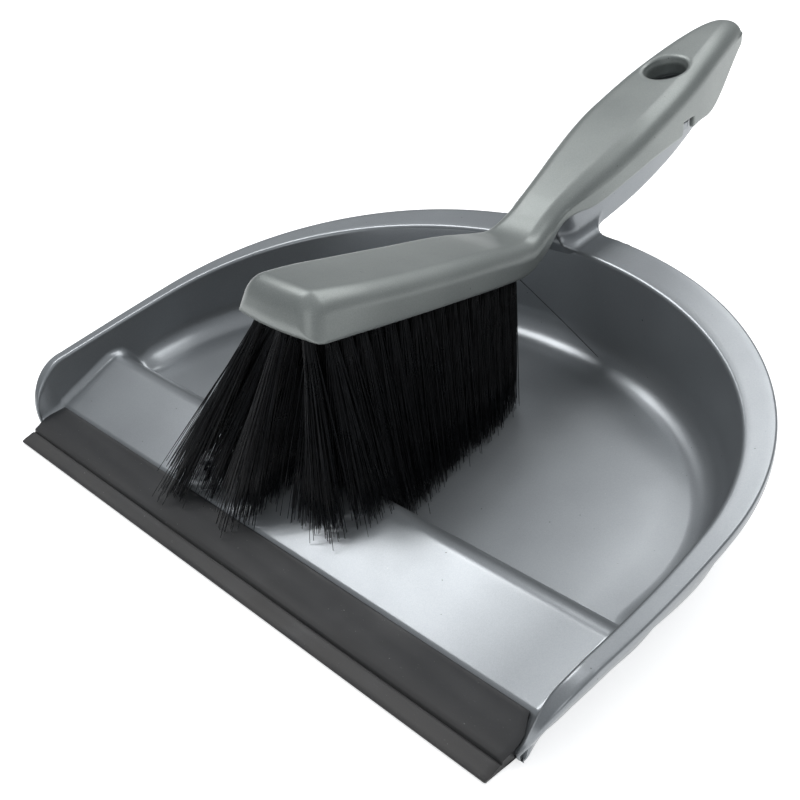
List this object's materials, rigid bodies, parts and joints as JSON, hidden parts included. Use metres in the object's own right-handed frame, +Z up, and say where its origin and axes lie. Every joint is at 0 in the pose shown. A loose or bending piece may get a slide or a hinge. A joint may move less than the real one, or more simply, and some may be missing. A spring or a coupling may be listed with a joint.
{
  "type": "dustpan and brush",
  "caption": "D-shaped moulded dustpan with a flanged rim, rubber lip and handle, and a bristle hand brush whose hollow handle clips down over the pan's handle.",
  "frame": {"origin": "middle of the whole set on the floor that the pan lies on", "axes": "+Z up, +Y towards the handles, +X to the right seen from the lip"},
  "size_m": [0.248, 0.298, 0.0921],
  "materials": {
    "pan_plastic": "silver-grey pearlescent moulded plastic, glossy",
    "brush_plastic": "silver-grey pearlescent moulded plastic, satin",
    "lip_rubber": "black extruded rubber, slightly dusty",
    "bristle": "black straight synthetic fibre",
    "anchor_wire": "flat drawn wire"
  },
  "bodies": {
    "pan": {"dustpan": "pan_plastic", "rubber_lip": "lip_rubber"},
    "brush": {"brush_stock": "brush_plastic", "tuft_anchors": "anchor_wire", "tuft_row_1": "bristle", "tuft_row_2": "bristle", "tuft_row_3": "bristle", "tuft_row_4": "bristle", "tuft_row_5": "bristle", "tuft_row_6": "bristle", "tuft_row_7": "bristle", "tuft_row_8": "bristle", "tuft_row_9": "bristle", "tuft_row_10": "bristle", "tuft_row_11": "bristle", "tuft_row_12": "bristle", "tuft_row_13": "bristle", "tuft_row_14": "bristle", "tuft_row_15": "bristle", "tuft_row_16": "bristle", "tuft_row_17": "bristle"}
  },
  "joints": [
    {"name": "brush_lift", "type": "slide", "parent": "pan", "child": "brush", "axis": [0, -0.2689, 0.9632], "range_m": [0, 0.1]}
  ]
}
